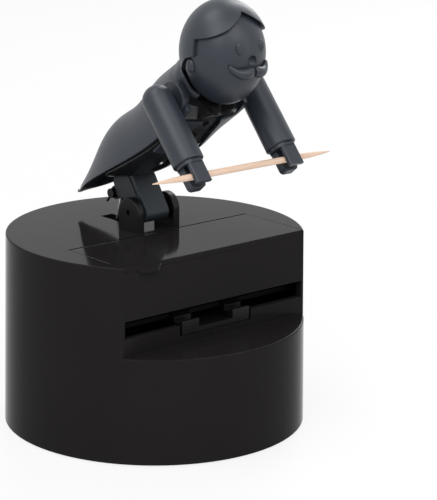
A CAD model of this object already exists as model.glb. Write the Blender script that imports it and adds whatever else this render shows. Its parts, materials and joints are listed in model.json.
import json
import math

import bmesh
import bpy
from mathutils import Matrix, Vector


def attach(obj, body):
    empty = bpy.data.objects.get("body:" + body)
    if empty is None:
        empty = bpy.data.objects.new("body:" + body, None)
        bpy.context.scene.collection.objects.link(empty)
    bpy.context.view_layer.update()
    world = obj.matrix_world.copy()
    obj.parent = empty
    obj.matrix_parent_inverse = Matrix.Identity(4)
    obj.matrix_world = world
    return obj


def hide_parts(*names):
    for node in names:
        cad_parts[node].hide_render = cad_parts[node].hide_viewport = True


# A round toothpick box with a bowing butler on its deck, in metres: +Z is up,
# the butler faces -Y and bows about +X. Sizes written in millimetres end in
# "* MM" where they are used.

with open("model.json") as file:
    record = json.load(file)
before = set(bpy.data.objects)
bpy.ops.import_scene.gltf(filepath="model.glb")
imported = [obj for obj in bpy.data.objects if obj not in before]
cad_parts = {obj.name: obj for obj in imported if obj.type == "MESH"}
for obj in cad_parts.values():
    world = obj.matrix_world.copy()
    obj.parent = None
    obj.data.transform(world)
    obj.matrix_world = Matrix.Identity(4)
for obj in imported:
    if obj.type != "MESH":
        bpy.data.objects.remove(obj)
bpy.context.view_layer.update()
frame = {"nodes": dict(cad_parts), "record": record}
nodes = frame["nodes"]
MM = 0.001

FLOAT = "NodeSocketFloat"
INT = "NodeSocketInt"
COLOUR = "NodeSocketColor"
VECTOR = "NodeSocketVector"
WHITE = (1, 1, 1, 1)
BLACK = (0, 0, 0, 1)

# ------------------------------------------------------------------ the camera
VIEW_AZIMUTH = math.radians(-41.678)
VIEW_ELEVATION = math.radians(15.102)
VIEW_ROLL = math.radians(0.7217)
VIEW_TARGET = Vector((13.69, -12.20, 50.40)) * MM
VIEW_DISTANCE = 611.3 * MM
LENS = 152.2
SENSOR = 36.0


def add_camera():
    """Long lens in front of the butler and to the right, looking 15 degrees down."""
    across = Vector((math.cos(VIEW_AZIMUTH), math.sin(VIEW_AZIMUTH), 0))
    back = Vector((
        math.sin(VIEW_AZIMUTH) * math.cos(VIEW_ELEVATION),
        -math.cos(VIEW_AZIMUTH) * math.cos(VIEW_ELEVATION),
        math.sin(VIEW_ELEVATION),
    ))
    upward = back.cross(across)
    right = across * math.cos(VIEW_ROLL) + upward * math.sin(VIEW_ROLL)
    up = upward * math.cos(VIEW_ROLL) - across * math.sin(VIEW_ROLL)
    data = bpy.data.cameras.new("view")
    data.lens = LENS
    data.sensor_fit = "VERTICAL"
    data.sensor_height = SENSOR
    data.sensor_width = SENSOR
    camera = bpy.data.objects.new("view", data)
    bpy.context.collection.objects.link(camera)
    rotation = Matrix((right, up, back)).transposed().to_4x4()
    camera.matrix_world = Matrix.Translation(VIEW_TARGET + back * VIEW_DISTANCE) @ rotation
    bpy.context.scene.camera = camera


# ------------------------------------------------------------- light and floor
LAMP_TARGET = Vector((0, 0, 0.06))
LAMPS = [
    # name, place, width and height, watts
    ("key_softbox", (-0.60, -0.30, 0.72), (0.6, 0.6), 3.3),
    ("top_softbox", (-0.26, 0.18, 0.84), (0.4, 0.4), 1.8),
    ("rim_softbox", (0.65, 0.35, 0.55), (0.25, 0.7), 2.4),
    ("fill_softbox", (-0.02, -0.66, 0.66), (0.45, 0.45), 1.7),
    ("front_strip", (0.35, -0.75, 0.35), (0.12, 0.6), 0.5),
]
ROOM_LIGHT = 0.385
FLOOR_HALF = 3.0
FLOOR_SEEN_WHITE = 0.83         # share of the floor that is seen as plain white
FLOOR_CLOUD_SCALE = 3.0
FLOOR_DARK, FLOOR_PALE = 0.92, 0.94


def add_lights():
    for name, place, size, power in LAMPS:
        data = bpy.data.lights.new(name, "AREA")
        data.shape = "RECTANGLE"
        data.size, data.size_y = size
        data.energy = power
        lamp = bpy.data.objects.new(name, data)
        bpy.context.collection.objects.link(lamp)
        lamp.location = place
        aim = LAMP_TARGET - Vector(place)
        lamp.rotation_euler = aim.to_track_quat("-Z", "Y").to_euler()


def set_world():
    """Even studio light; the camera and mirrors see a white room."""
    world = bpy.data.worlds.new("studio")
    bpy.context.scene.world = world
    world.use_nodes = True
    tree = world.node_tree
    tree.nodes.clear()
    out = tree.nodes.new("ShaderNodeOutputWorld")
    light = tree.nodes.new("ShaderNodeBackground")
    light.inputs["Color"].default_value = WHITE
    light.inputs["Strength"].default_value = ROOM_LIGHT
    seen = tree.nodes.new("ShaderNodeBackground")
    seen.inputs["Color"].default_value = WHITE
    seen.inputs["Strength"].default_value = 1.0
    mix = tree.nodes.new("ShaderNodeMixShader")
    tree.links.new(seen_rays(tree), mix.inputs[0])
    tree.links.new(light.outputs[0], mix.inputs[1])
    tree.links.new(seen.outputs[0], mix.inputs[2])
    tree.links.new(mix.outputs[0], out.inputs["Surface"])


def add_floor():
    size = FLOOR_HALF
    corners = [(-size, -size, 0), (size, -size, 0), (size, size, 0), (-size, size, 0)]
    data = bpy.data.meshes.new("floor")
    data.from_pydata(corners, [], [(0, 1, 2, 3)])
    floor = bpy.data.objects.new("floor", data)
    bpy.context.collection.objects.link(floor)
    floor.data.materials.append(floor_finish())


# ---------------------------------------------------------------- node helpers
def feed(tree, socket, value):
    """Links a socket to another one, or writes a plain value on it."""
    if isinstance(value, bpy.types.NodeSocket):
        tree.links.new(value, socket)
    else:
        socket.default_value = value


def math_node(tree, operation, *values):
    node = tree.nodes.new("ShaderNodeMath")
    node.operation = operation
    for socket, value in zip(node.inputs, values):
        feed(tree, socket, value)
    return node.outputs[0]


def seen_rays(tree):
    """1 for rays that come from the eye, from gloss or through glass."""
    path = tree.nodes.new("ShaderNodeLightPath").outputs
    glossy = math_node(tree, "MAXIMUM", path["Is Camera Ray"], path["Is Glossy Ray"])
    return math_node(tree, "MAXIMUM", glossy, path["Is Transmission Ray"])


def new_group(name, inputs, outputs):
    """Shader node group with named sockets; returns its tree and both ends."""
    tree = bpy.data.node_groups.new(name, "ShaderNodeTree")
    for label, kind, default in inputs:
        socket = tree.interface.new_socket(label, in_out="INPUT", socket_type=kind)
        socket.default_value = default
    for label, kind in outputs:
        tree.interface.new_socket(label, in_out="OUTPUT", socket_type=kind)
    return tree, tree.nodes.new("NodeGroupInput"), tree.nodes.new("NodeGroupOutput")


def noise_node(tree, vector, scale, detail=3.0, roughness=0.5):
    node = tree.nodes.new("ShaderNodeTexNoise")
    feed(tree, node.inputs["Vector"], vector)
    feed(tree, node.inputs["Scale"], scale)
    feed(tree, node.inputs["Detail"], detail)
    feed(tree, node.inputs["Roughness"], roughness)
    return node.outputs["Fac"]


def mix_colour(tree, factor, first, second):
    node = tree.nodes.new("ShaderNodeMix")
    node.data_type = "RGBA"
    for index, value in ((0, factor), (6, first), (7, second)):
        feed(tree, node.inputs[index], value)
    return node.outputs[2]


def stretch(tree, value, low, high):
    """Maps 0..1 to low..high, which are sockets or numbers."""
    node = tree.nodes.new("ShaderNodeMapRange")
    for label, given in (("Value", value), ("To Min", low), ("To Max", high)):
        feed(tree, node.inputs[label], given)
    return node.outputs["Result"]


# a scale is in noise cells to the metre, a distance or radius in metres
BUMP_DISTANCE = 0.0001
CLOUD_SCALE = 38.0
WEAR_SCALE = 120.0
LINT_SCALE = 1400.0
LINT_FROM, LINT_TO = 0.70, 0.78
LINT_COLOUR = (0.5, 0.5, 0.52, 1)
EDGE_RADIUS = 0.00022
EDGE_SAMPLES = 6
STREAK_SCALE = 2600.0
STREAK_STRETCH = (1.0, 1.0, 0.15)
STREAK_ROUGHENS = 0.15
STREAK_DEPTH = 0.08
STAIN_SCALE = 260.0
STAIN_COLOUR = (0.05, 0.05, 0.05, 1)


def object_place(tree):
    return tree.nodes.new("ShaderNodeTexCoord").outputs["Object"]


def stretched_place(tree, scale):
    """Object coordinates, drawn out along the axis with the small scale."""
    mapping = tree.nodes.new("ShaderNodeMapping")
    mapping.inputs["Scale"].default_value = scale
    tree.links.new(object_place(tree), mapping.inputs["Vector"])
    return mapping.outputs["Vector"]


def bump_node(tree, height, strength):
    bump = tree.nodes.new("ShaderNodeBump")
    feed(tree, bump.inputs["Distance"], BUMP_DISTANCE)
    feed(tree, bump.inputs["Height"], height)
    feed(tree, bump.inputs["Strength"], strength)
    return bump


def make_moulded_group():
    """Moulded plastic: flow clouds, fine texture, soft edges, a little lint."""
    tree, start, end = new_group(
        "moulded_plastic",
        [("Colour", COLOUR, (0.1, 0.1, 0.1, 1)), ("Cloud", FLOAT, 0.1),
         ("Roughness", FLOAT, 0.3), ("Roughness Spread", FLOAT, 0.05),
         ("Texture Size", FLOAT, 900.0), ("Texture Depth", FLOAT, 0.05),
         ("Lint", FLOAT, 0.02), ("Edge Radius", FLOAT, EDGE_RADIUS)],
        [("Colour", COLOUR), ("Roughness", FLOAT), ("Normal", VECTOR)])
    given = start.outputs
    place = object_place(tree)

    cloud = noise_node(tree, place, CLOUD_SCALE, detail=4.0)
    dark = mix_colour(tree, given["Cloud"], given["Colour"], BLACK)
    tone = mix_colour(tree, cloud, dark, given["Colour"])
    speck = noise_node(tree, place, LINT_SCALE, detail=1.0)
    mask = tree.nodes.new("ShaderNodeMapRange")
    mask.inputs["From Min"].default_value = LINT_FROM
    mask.inputs["From Max"].default_value = LINT_TO
    tree.links.new(speck, mask.inputs["Value"])
    lint = math_node(tree, "MULTIPLY", mask.outputs["Result"], given["Lint"])
    tree.links.new(mix_colour(tree, lint, tone, LINT_COLOUR), end.inputs["Colour"])

    wear = noise_node(tree, place, WEAR_SCALE, detail=5.0, roughness=0.6)
    low = math_node(tree, "SUBTRACT", given["Roughness"], given["Roughness Spread"])
    high = math_node(tree, "ADD", given["Roughness"], given["Roughness Spread"])
    tree.links.new(stretch(tree, wear, low, high), end.inputs["Roughness"])

    grain = noise_node(tree, place, given["Texture Size"], detail=2.0)
    edge = tree.nodes.new("ShaderNodeBevel")
    edge.samples = EDGE_SAMPLES
    tree.links.new(given["Edge Radius"], edge.inputs["Radius"])
    bump = bump_node(tree, grain, given["Texture Depth"])
    tree.links.new(edge.outputs["Normal"], bump.inputs["Normal"])
    tree.links.new(bump.outputs["Normal"], end.inputs["Normal"])
    return tree


def make_metal_group():
    """Drawn or turned metal: fine streaks and stained patches."""
    tree, start, end = new_group(
        "worked_metal",
        [("Colour", COLOUR, (0.6, 0.6, 0.6, 1)), ("Stain", FLOAT, 0.2),
         ("Roughness", FLOAT, 0.25)],
        [("Colour", COLOUR), ("Roughness", FLOAT), ("Normal", VECTOR)])
    given = start.outputs
    drawn = stretched_place(tree, STREAK_STRETCH)
    streak = noise_node(tree, drawn, STREAK_SCALE, detail=2.0)
    patch = noise_node(tree, object_place(tree), STAIN_SCALE)
    stain = math_node(tree, "MULTIPLY", patch, given["Stain"])
    tone = mix_colour(tree, stain, given["Colour"], STAIN_COLOUR)
    tree.links.new(tone, end.inputs["Colour"])
    high = math_node(tree, "ADD", given["Roughness"], STREAK_ROUGHENS)
    tree.links.new(stretch(tree, streak, given["Roughness"], high), end.inputs["Roughness"])
    bump = bump_node(tree, streak, STREAK_DEPTH)
    tree.links.new(bump.outputs["Normal"], end.inputs["Normal"])
    return tree


MOULDED = make_moulded_group()
METAL = make_metal_group()


def new_material(name):
    """Material with one surface shader; returns it, its tree and the shader."""
    material = bpy.data.materials.new(name)
    material.use_nodes = True
    tree = material.node_tree
    tree.nodes.clear()
    out = tree.nodes.new("ShaderNodeOutputMaterial")
    shader = tree.nodes.new("ShaderNodeBsdfPrincipled")
    tree.links.new(shader.outputs[0], out.inputs["Surface"])
    return material, tree, shader


def dressed(name, group_tree, **values):
    """Material whose look comes from one group; _ in a keyword is a blank."""
    material, tree, shader = new_material(name)
    group = tree.nodes.new("ShaderNodeGroup")
    group.node_tree = group_tree
    for label, value in values.items():
        group.inputs[label.replace("_", " ")].default_value = value
    tree.links.new(group.outputs["Colour"], shader.inputs["Base Color"])
    tree.links.new(group.outputs["Roughness"], shader.inputs["Roughness"])
    tree.links.new(group.outputs["Normal"], shader.inputs["Normal"])
    return material, shader


def moulded(name, colour, cloud, roughness, spread, grain, depth, lint, specular):
    material, shader = dressed(
        name, MOULDED, Colour=(*colour, 1), Cloud=cloud, Roughness=roughness,
        Roughness_Spread=spread, Texture_Size=grain, Texture_Depth=depth, Lint=lint)
    shader.inputs["Specular IOR Level"].default_value = specular
    return material


def metal(name, colour, stain, roughness):
    material, shader = dressed(name, METAL, Colour=(*colour, 1), Stain=stain, Roughness=roughness)
    shader.inputs["Metallic"].default_value = 1.0
    return material


def floor_finish():
    """White table top; seen directly it is nearly as white as the room."""
    material, tree, shader = new_material("white_table")
    cloud = noise_node(tree, object_place(tree), FLOOR_CLOUD_SCALE)
    tone = stretch(tree, cloud, FLOOR_DARK, FLOOR_PALE)
    tree.links.new(tone, shader.inputs["Base Color"])
    shader.inputs["Roughness"].default_value = 0.35
    shader.inputs["Specular IOR Level"].default_value = 0.3
    white = tree.nodes.new("ShaderNodeEmission")
    mix = tree.nodes.new("ShaderNodeMixShader")
    share = math_node(tree, "MULTIPLY", seen_rays(tree), FLOOR_SEEN_WHITE)
    tree.links.new(share, mix.inputs[0])
    tree.links.new(shader.outputs[0], mix.inputs[1])
    tree.links.new(white.outputs[0], mix.inputs[2])
    tree.links.new(mix.outputs[0], tree.nodes["Material Output"].inputs["Surface"])
    return material


BIRCH_PALE = (0.92, 0.69, 0.53, 1)
BIRCH_DARK = (0.58, 0.33, 0.21, 1)
BIRCH_STREAK = (0.95, 0.78, 0.64, 1)
FIBRE_SCALE, FIBRE_DEPTH = 2200.0, 0.25
FIBRE_STRETCH = (0.05, 1.0, 1.0)
GROWTH_SCALE, GROWTH_SHARE = 700.0, 0.55


def birch():
    """Pale birch: long fibres and lighter growth streaks along the pick."""
    material, tree, shader = new_material("birch_wood")
    place = stretched_place(tree, FIBRE_STRETCH)
    fibre = noise_node(tree, place, FIBRE_SCALE, detail=4.0, roughness=0.65)
    streak = noise_node(tree, place, GROWTH_SCALE, detail=2.0)
    pale = mix_colour(tree, fibre, BIRCH_PALE, BIRCH_DARK)
    share = math_node(tree, "MULTIPLY", streak, GROWTH_SHARE)
    tree.links.new(mix_colour(tree, share, pale, BIRCH_STREAK), shader.inputs["Base Color"])
    tree.links.new(stretch(tree, fibre, 0.5, 0.75), shader.inputs["Roughness"])
    bump = bump_node(tree, fibre, FIBRE_DEPTH)
    tree.links.new(bump.outputs["Normal"], shader.inputs["Normal"])
    return material


# moulded: name, colour, cloud, roughness and its spread, texture size and
# depth, lint, specular; metal: name, colour, stain, roughness
FINISHES = {
    "gloss_black": moulded("drum_gloss_black", (0.0178, 0.0161, 0.0165),
                           0.22, 0.09, 0.025, 500.0, 0.015, 0.004, 0.027),
    "black_plastic": moulded("satin_black", (0.007, 0.007, 0.0072),
                             0.25, 0.36, 0.06, 1100.0, 0.12, 0.01, 0.22),
    "slate": moulded("satin_slate", (0.0258, 0.0322, 0.0436),
                     0.20, 0.40, 0.05, 1500.0, 0.10, 0.01, 0.42),
    "rubber": moulded("black_rubber", (0.02, 0.02, 0.02),
                      0.3, 0.8, 0.08, 1800.0, 0.35, 0.03, 0.3),
    "steel": metal("bright_steel", (0.78, 0.78, 0.79), 0.15, 0.16),
    "black_steel": metal("blackened_steel", (0.022, 0.022, 0.024), 0.4, 0.35),
    "wood": birch(),
}
# pieces whose own mould or polish differs from the rest of their slot
OWN_FINISHES = {
    "waistcoat_body": moulded("waistcoat_gloss", (0.016, 0.017, 0.019),
                              0.2, 0.24, 0.04, 700.0, 0.012, 0.005, 0.40),
    "leg": moulded("leg_slate", (0.0245, 0.0310, 0.0370),
                   0.2, 0.42, 0.05, 1500.0, 0.10, 0.008, 0.30),
    "ears": FINISHES["slate"],
    "hopper": moulded("hopper_matt", (0.0022, 0.0022, 0.0023),
                      0.3, 0.6, 0.06, 900.0, 0.10, 0.002, 0.08),
    "axle_pin": FINISHES["black_steel"],
}


def dress_nodes():
    """Gives every solid its own finish, or else that of the slot the record names."""
    slots = {part["node"]: part["material_slot"] for part in frame["record"]["subparts"]}
    for name, thing in nodes.items():
        finish = OWN_FINISHES.get(name) or FINISHES[slots[name]]
        thing.data.materials.clear()
        thing.data.materials.append(finish)


# ------------------------------------------------------------- geometry nodes
class Tree:
    """Small helper round a geometry node tree with named inputs."""

    def __init__(self, name, inputs):
        self.tree = bpy.data.node_groups.new(name, "GeometryNodeTree")
        self.tree.is_modifier = True
        new_socket = self.tree.interface.new_socket
        new_socket("Geometry", in_out="INPUT", socket_type="NodeSocketGeometry")
        for label, kind, default in inputs:
            new_socket(label, in_out="INPUT", socket_type=kind).default_value = default
        new_socket("Finish", in_out="INPUT", socket_type="NodeSocketMaterial")
        new_socket("Geometry", in_out="OUTPUT", socket_type="NodeSocketGeometry")
        self.start = self.tree.nodes.new("NodeGroupInput").outputs
        self.end = self.tree.nodes.new("NodeGroupOutput").inputs

    def node(self, kind, **links):
        """Adds a node; each keyword names an input, with _ for a blank."""
        node = self.tree.nodes.new(kind)
        for label, value in links.items():
            self.give(node.inputs[label.replace("_", " ")], value)
        return node

    def give(self, socket, value):
        feed(self.tree, socket, value)

    def math(self, operation, *values):
        return math_node(self.tree, operation, *values)

    def vector(self, x, y, z):
        return self.node("ShaderNodeCombineXYZ", X=x, Y=y, Z=z).outputs[0]

    def line(self, count, **ends):
        """Straight line of that many points between Start and End."""
        line = self.node("GeometryNodeCurvePrimitiveLine", **ends).outputs[0]
        return self.node("GeometryNodeResampleCurve", Curve=line, Count=count).outputs[0]

    def moved(self, geometry, place):
        node = self.node("GeometryNodeTransform", Geometry=geometry, Translation=place)
        return node.outputs[0]

    def tube(self, path, radius, sides):
        """Closed round tube along a path; the radius may change along it."""
        ring = self.node("GeometryNodeCurvePrimitiveCircle", Resolution=sides, Radius=1.0)
        return self.node(
            "GeometryNodeCurveToMesh", Curve=path, Profile_Curve=ring.outputs["Curve"],
            Scale=radius, Fill_Caps=True).outputs["Mesh"]

    def finish(self, geometry):
        """Ends the tree: real geometry with the finish on it."""
        smooth = self.node("GeometryNodeSetShadeSmooth", Geometry=geometry)
        real = self.node("GeometryNodeRealizeInstances", Geometry=smooth.outputs[0])
        whole = self.node(
            "GeometryNodeSetMaterial", Geometry=real.outputs[0], Material=self.start["Finish"])
        self.tree.links.new(whole.outputs[0], self.end["Geometry"])
        return self.tree


def grow(name, tree, finish, points=(), **values):
    """Runs a tree once and keeps its result as a plain mesh object."""
    data = bpy.data.meshes.new(name)
    data.from_pydata([Vector(point) * MM for point in points], [], [])
    thing = bpy.data.objects.new(name, data)
    bpy.context.collection.objects.link(thing)
    modifier = thing.modifiers.new(name, "NODES")
    modifier.node_group = tree
    sockets = {item.name: item.identifier
               for item in tree.interface.items_tree if item.in_out == "INPUT"}
    values["Finish"] = finish
    for label, value in values.items():
        modifier[sockets[label.replace("_", " ")]] = value
    bpy.context.view_layer.update()
    graph = bpy.context.evaluated_depsgraph_get()
    plain = bpy.data.meshes.new_from_object(thing.evaluated_get(graph))
    thing.modifiers.remove(modifier)
    thing.data = plain
    plain.name = name
    return thing


# the pick's point: share of the radius lost per share of the taper, and more
# per square of that share
POINT_SLOPE = 0.199
POINT_CURVE = 0.668


def turned_pick_tree():
    """Round pick, turned to a point at both ends by one rule for its radius."""
    t = Tree("turned_pick", [
        ("Length", FLOAT, 0.065), ("Radius", FLOAT, 0.001), ("Taper", FLOAT, 0.011),
        ("Sides", INT, 24), ("Rings", INT, 120), ("Centre", VECTOR, (0, 0, 0))])
    half = t.math("MULTIPLY", t.start["Length"], 0.5)
    left = t.vector(t.math("MULTIPLY", half, -1.0), 0.0, 0.0)
    path = t.line(t.start["Rings"], Start=left, End=t.vector(half, 0.0, 0.0))
    place = t.node("GeometryNodeInputPosition").outputs[0]
    along = t.math("ABSOLUTE", t.node("ShaderNodeSeparateXYZ", Vector=place).outputs["X"])
    into = t.math("SUBTRACT", along, t.math("SUBTRACT", half, t.start["Taper"]))
    share = t.math("MAXIMUM", t.math("DIVIDE", into, t.start["Taper"]), 0.0)
    squared = t.math("MULTIPLY", share, share)
    loss = t.math("ADD", t.math("MULTIPLY", share, POINT_SLOPE),
                  t.math("MULTIPLY", squared, POINT_CURVE))
    radius = t.math("MULTIPLY", t.math("SUBTRACT", 1.0, loss), t.start["Radius"])
    body = t.tube(path, radius, t.start["Sides"])
    return t.finish(t.moved(body, t.start["Centre"]))


def coil_tree():
    """Round wire wound into a coil along X."""
    t = Tree("wire_coil", [
        ("Turns", FLOAT, 2.5), ("Pitch", FLOAT, 0.0007), ("Coil Radius", FLOAT, 0.0023),
        ("Wire Radius", FLOAT, 0.0003), ("Steps", INT, 90), ("Sides", INT, 12),
        ("Start", VECTOR, (0, 0, 0))])
    path = t.line(t.start["Steps"], End=(1.0, 0.0, 0.0))
    share = t.node("GeometryNodeSplineParameter").outputs["Factor"]
    turned = t.math("MULTIPLY", share, t.start["Turns"])
    angle = t.math("MULTIPLY", turned, math.tau)
    below = t.math("MULTIPLY", t.start["Coil Radius"], -1.0)
    place = t.vector(
        t.math("MULTIPLY", turned, t.start["Pitch"]),
        t.math("MULTIPLY", t.math("SINE", angle), t.start["Coil Radius"]),
        t.math("MULTIPLY", t.math("COSINE", angle), below))
    wound = t.node("GeometryNodeSetPosition", Geometry=path, Position=place).outputs[0]
    wire = t.tube(wound, t.start["Wire Radius"], t.start["Sides"])
    return t.finish(t.moved(wire, t.start["Start"]))


HEAD_SIDES = 18
SHANK_SIDES = 10
RECESS_LENGTH, RECESS_WIDTH = 1.35, 0.3     # by the head's radius
RECESS_DROP = -1.05                         # by the head's height
THREAD_DEPTH = 0.22                         # by the shank's radius
TIP_FROM, TIP_SLOPE = 0.8, 3.0              # by the shank's length
MOST_TURN = 1.5                             # radians past square that a screw stops at


def screw_head(t):
    """Flat head under the point it stands on, with a cross cut into its face."""
    radius, height = t.start["Head Radius"], t.start["Head Height"]
    disc = t.node("GeometryNodeMeshCylinder", Vertices=HEAD_SIDES, Radius=radius, Depth=height)
    low = t.math("MULTIPLY", height, -0.5)
    drop = t.math("MULTIPLY", height, RECESS_DROP)
    wide = t.math("MULTIPLY", radius, RECESS_LENGTH)
    slim = t.math("MULTIPLY", radius, RECESS_WIDTH)
    cut = t.tree.nodes.new("GeometryNodeMeshBoolean")
    cut.operation = "DIFFERENCE"
    cut.solver = "EXACT"
    t.give(cut.inputs["Mesh 1"], t.moved(disc.outputs["Mesh"], t.vector(0.0, 0.0, low)))
    for length, width in ((wide, slim), (slim, wide)):
        bar = t.node("GeometryNodeMeshCube", Size=t.vector(length, width, height))
        t.give(cut.inputs["Mesh 2"], t.moved(bar.outputs["Mesh"], t.vector(0.0, 0.0, drop)))
    return cut.outputs["Mesh"]


def screw_shank(t):
    """Threaded shank: every other ring is a root, and the last fifth narrows."""
    length = t.start["Shank Length"]
    rings = t.math("ROUND", t.math("DIVIDE", t.math("MULTIPLY", length, 2.0),
                                   t.start["Thread Pitch"]))
    path = t.line(rings, End=t.vector(0.0, 0.0, length))
    spline = t.node("GeometryNodeSplineParameter").outputs
    root = t.math("MULTIPLY", t.math("MODULO", spline["Index"], 2.0), THREAD_DEPTH)
    into_tip = t.math("SUBTRACT", spline["Factor"], TIP_FROM)
    tip = t.math("MAXIMUM", t.math("MULTIPLY", into_tip, TIP_SLOPE), 0.0)
    share = t.math("SUBTRACT", t.math("SUBTRACT", 1.0, root), tip)
    return t.tube(path, t.math("MULTIPLY", share, t.start["Shank Radius"]), SHANK_SIDES)


def screw_tree():
    """Cross-head screws, one on each point, all driven along one axis."""
    t = Tree("cross_head_screws", [
        ("Head Radius", FLOAT, 0.0017), ("Head Height", FLOAT, 0.001),
        ("Shank Radius", FLOAT, 0.0008), ("Shank Length", FLOAT, 0.009),
        ("Thread Pitch", FLOAT, 0.0007), ("Axis", VECTOR, (0, 0, 1)), ("Seed", INT, 4)])
    both = t.tree.nodes.new("GeometryNodeJoinGeometry")
    for part in (screw_head(t), screw_shank(t)):
        t.give(both.inputs[0], part)
    upright = t.node("FunctionNodeAlignRotationToVector", Vector=t.start["Axis"])
    upright.axis = "Z"
    chance = t.tree.nodes.new("FunctionNodeRandomValue")
    chance.data_type = "FLOAT"
    chance.inputs[3].default_value = MOST_TURN
    t.give(chance.inputs["Seed"], t.start["Seed"])
    spin = t.node("FunctionNodeAxisAngleToRotation", Axis=(0.0, 0.0, 1.0), Angle=chance.outputs[1])
    turned = t.tree.nodes.new("FunctionNodeRotateRotation")
    turned.rotation_space = "LOCAL"
    t.give(turned.inputs["Rotation"], upright.outputs[0])
    t.give(turned.inputs["Rotate By"], spin.outputs[0])
    placed = t.node(
        "GeometryNodeInstanceOnPoints", Points=t.start["Geometry"], Instance=both.outputs[0],
        Rotation=turned.outputs[0])
    return t.finish(placed.outputs[0])


def piping_tree():
    """Thin round piping that follows a ring square to X."""
    t = Tree("ring_piping", [
        ("Ring Radius", FLOAT, 0.005), ("Piping Radius", FLOAT, 0.0003),
        ("Steps", INT, 64), ("Sides", INT, 10)])
    ring = t.node("GeometryNodeCurvePrimitiveCircle", Resolution=t.start["Steps"],
                  Radius=t.start["Ring Radius"]).outputs["Curve"]
    cord = t.tube(ring, t.start["Piping Radius"], t.start["Sides"])
    turned = t.node("GeometryNodeTransform", Geometry=cord, Rotation=(0.0, math.pi / 2, 0.0))
    placed = t.node("GeometryNodeInstanceOnPoints", Points=t.start["Geometry"],
                    Instance=turned.outputs[0])
    return t.finish(placed.outputs[0])


# --------------------------------------------------------------- added pieces
# places and sizes here are in millimetres
PICK_HELD = (0.0, -37.7, 81.46)
PICK_LENGTH, PICK_RADIUS, PICK_TAPER = 65.0, 0.9, 12.5
BOW_PIVOT = (4.1, 61.3)                     # y, z
SPRING_START = (4.43, *BOW_PIVOT)
SPRING_WIDTH, SPRING_PITCH = 1.79, 0.7
SPRING_RADIUS, SPRING_WIRE = 2.3, 0.32
TORSO_HEART = Vector((0, 0, 80))
SPINE_LEAN = math.radians(47.7)
SPINE = Vector((0, -math.sin(SPINE_LEAN), math.cos(SPINE_LEAN)))
BACKWARD = Vector((0, math.cos(SPINE_LEAN), math.sin(SPINE_LEAN)))


def add_pick():
    pick = grow("turned_toothpick", turned_pick_tree(), FINISHES["wood"],
                Length=PICK_LENGTH * MM, Radius=PICK_RADIUS * MM, Taper=PICK_TAPER * MM,
                Centre=Vector(PICK_HELD) * MM)
    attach(pick, "toothpick")
    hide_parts("toothpick")


def add_spring():
    coil = grow("spring_coil", coil_tree(), FINISHES["black_steel"],
                Turns=SPRING_WIDTH / SPRING_PITCH, Pitch=SPRING_PITCH * MM,
                Coil_Radius=SPRING_RADIUS * MM, Wire_Radius=SPRING_WIRE * MM,
                Start=Vector(SPRING_START) * MM)
    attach(coil, "base")
    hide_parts("return_spring")


SCREW_SETS = [
    # node, head seats, shank length
    ("base_screws", [(-18, -33, 1.6), (18, -33, 1.6), (-28, 24, 1.6), (28, 24, 1.6)], 9.4),
    ("track_screws", [(-6.5, -8, 1.6), (6.5, -8, 1.6), (-7.3, 27.5, 1.6), (7.3, 27.5, 1.6)], 9.4),
    ("hopper_screws", [(-22, 1.4, 52.9), (22, 1.4, 52.9)], 2.5),
    ("bracket_screws", [(-13, 4.1, 50.7), (13, 4.1, 50.7)], 4.3),
    ("rocker_bracket_screws", [(-8.4, 15.9, 1.6), (8.4, 15.9, 1.6)], 3.1),
]
# the waist screw is driven from the belly towards the back, its head sunk
WAIST_SEAT = TORSO_HEART + SPINE * 0.2 - BACKWARD * 3.2
WAIST_SHANK, WAIST_HEAD_RADIUS, WAIST_HEAD_HEIGHT = 6.4, 1.8, 1.2


def add_screws():
    tree = screw_tree()
    for node, places, length in SCREW_SETS:
        screws = grow("turned_" + node, tree, FINISHES["steel"], points=places,
                      Shank_Length=length * MM)
        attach(screws, "base")
        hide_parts(node)
    waist = grow("turned_body_screw", tree, FINISHES["steel"], points=[WAIST_SEAT],
                 Shank_Length=WAIST_SHANK * MM, Head_Radius=WAIST_HEAD_RADIUS * MM,
                 Head_Height=WAIST_HEAD_HEIGHT * MM, Axis=BACKWARD)
    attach(waist, "figure")
    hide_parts("body_screw")


def skin(name, rings, finish):
    """Closed skin over a row of closed rings of points; both ends are capped."""
    bm = bmesh.new()
    loops = [[bm.verts.new(point) for point in ring] for ring in rings]
    count = len(loops[0])
    for low, high in zip(loops, loops[1:]):
        for index in range(count):
            after = (index + 1) % count
            bm.faces.new((low[index], low[after], high[after], high[index]))
    bm.faces.new(loops[0])
    bm.faces.new(loops[-1])
    bmesh.ops.recalc_face_normals(bm, faces=bm.faces)
    for face in bm.faces:
        face.smooth = len(face.verts) == 4
    data = bpy.data.meshes.new(name)
    bm.to_mesh(data)
    bm.free()
    data.materials.append(finish)
    thing = bpy.data.objects.new(name, data)
    bpy.context.collection.objects.link(thing)
    return thing


COLLAR_HEART = TORSO_HEART + BACKWARD * 4.4
COLLAR_BOTTOM = 29.2
COLLAR_WALL = 1.1
COLLAR_END = math.radians(-52)              # each tip, forward of the neck's widest line
COLLAR_CORNER = 0.3
# the outside leans out at its foot and, less, at its middle, and in at its rim
FOOT_FLARE, WALL_FLARE, RIM_LEAN = 0.35, 0.12, 0.2
# radius and top edge: at the nape, and what the sides add to that
NAPE_RADIUS, SIDE_SWELL = 7.45, 1.45
NAPE_TOP, SIDE_RISE = 32.6, 0.9
# radius and top edge: at the sides, and what the throat takes off that
SIDE_RADIUS, THROAT_NARROWING = 8.9, 0.9
SIDE_TOP, THROAT_DIP = 33.5, 1.9
THROAT_REACH = 0.62                         # sine of the angle where that ends


def ease(value):
    value = min(max(value, 0.0), 1.0)
    return value * value * (3 - 2 * value)


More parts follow.
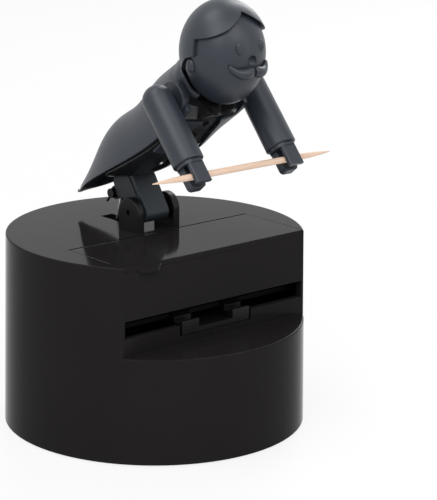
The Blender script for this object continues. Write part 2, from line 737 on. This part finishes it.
def collar_section(angle):
    """One cut through the collar: (distance along the spine, radius) pairs."""
    if math.sin(angle) >= 0:
        aside = abs(math.cos(angle))
        radius = NAPE_RADIUS + SIDE_SWELL * aside ** 8
        top = NAPE_TOP + SIDE_RISE * aside ** 4
    else:
        front = ease(-math.sin(angle) / THROAT_REACH)
        radius = SIDE_RADIUS - THROAT_NARROWING * front
        top = SIDE_TOP - THROAT_DIP * front
    height = top - COLLAR_BOTTOM
    corner = COLLAR_CORNER
    inner = radius - COLLAR_WALL
    outside = [
        (0.0, radius + FOOT_FLARE - corner), (corner, radius + FOOT_FLARE),
        (0.5 * height, radius + WALL_FLARE), (height - corner, radius - WALL_FLARE),
        (height, radius - RIM_LEAN - corner)]
    inside = [(height, inner + corner), (height - corner, inner), (0.5 * height, inner),
              (0.0, inner)]
    return [(COLLAR_BOTTOM + rise, reach) for rise, reach in outside + inside]


def add_collar(steps=96):
    """Standing collar: one band round the nape, open at the throat."""
    rings = []
    for step in range(steps + 1):
        angle = COLLAR_END + (math.pi - 2 * COLLAR_END) * step / steps
        outward = Vector((math.cos(angle), 0, 0)) + BACKWARD * math.sin(angle)
        rings.append([(COLLAR_HEART + SPINE * along + outward * reach) * MM
                      for along, reach in collar_section(angle)])
    band = skin("coat_collar_band", rings, FINISHES["slate"])
    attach(band, "figure")
    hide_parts("coat_collar")


SHOULDER = (-21.3, 99.4)                    # y, z
PAD_PROFILE = [
    # x, radius
    (7.4, 2.2), (8.2, 3.0), (9.2, 3.65), (10.3, 4.15), (11.2, 4.42), (12.0, 4.52), (12.26, 4.4),
]
ARMHOLE_X = 12.0
ARMHOLE_RADIUS, PIPING_RADIUS = 4.56, 0.2


def shoulder_pad(name, side, steps=72):
    """Round dome about the line through both shoulders."""
    y, z = SHOULDER
    rings = []
    for x, radius in PAD_PROFILE:
        ring = []
        for step in range(steps):
            angle = math.tau * step / steps
            ring.append((side * x * MM, (y + radius * math.cos(angle)) * MM,
                         (z + radius * math.sin(angle)) * MM))
        rings.append(ring)
    return skin(name, rings, FINISHES["slate"])


def add_armholes():
    """Round coat shoulders behind the sleeves, each with a piped edge."""
    for side, name in ((1, "left"), (-1, "right")):
        pad = shoulder_pad("coat_shoulder_" + name, side)
        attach(pad, "figure")
    piping = grow("armhole_piping", piping_tree(), FINISHES["slate"],
                  points=[(x, *SHOULDER) for x in (-ARMHOLE_X, ARMHOLE_X)],
                  Ring_Radius=ARMHOLE_RADIUS * MM, Piping_Radius=PIPING_RADIUS * MM)
    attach(piping, "figure")


add_camera()
set_world()
add_lights()
add_floor()
dress_nodes()
add_pick()
add_spring()
add_screws()
add_collar()
add_armholes()

scene = bpy.context.scene
scene.view_settings.view_transform = "Standard"
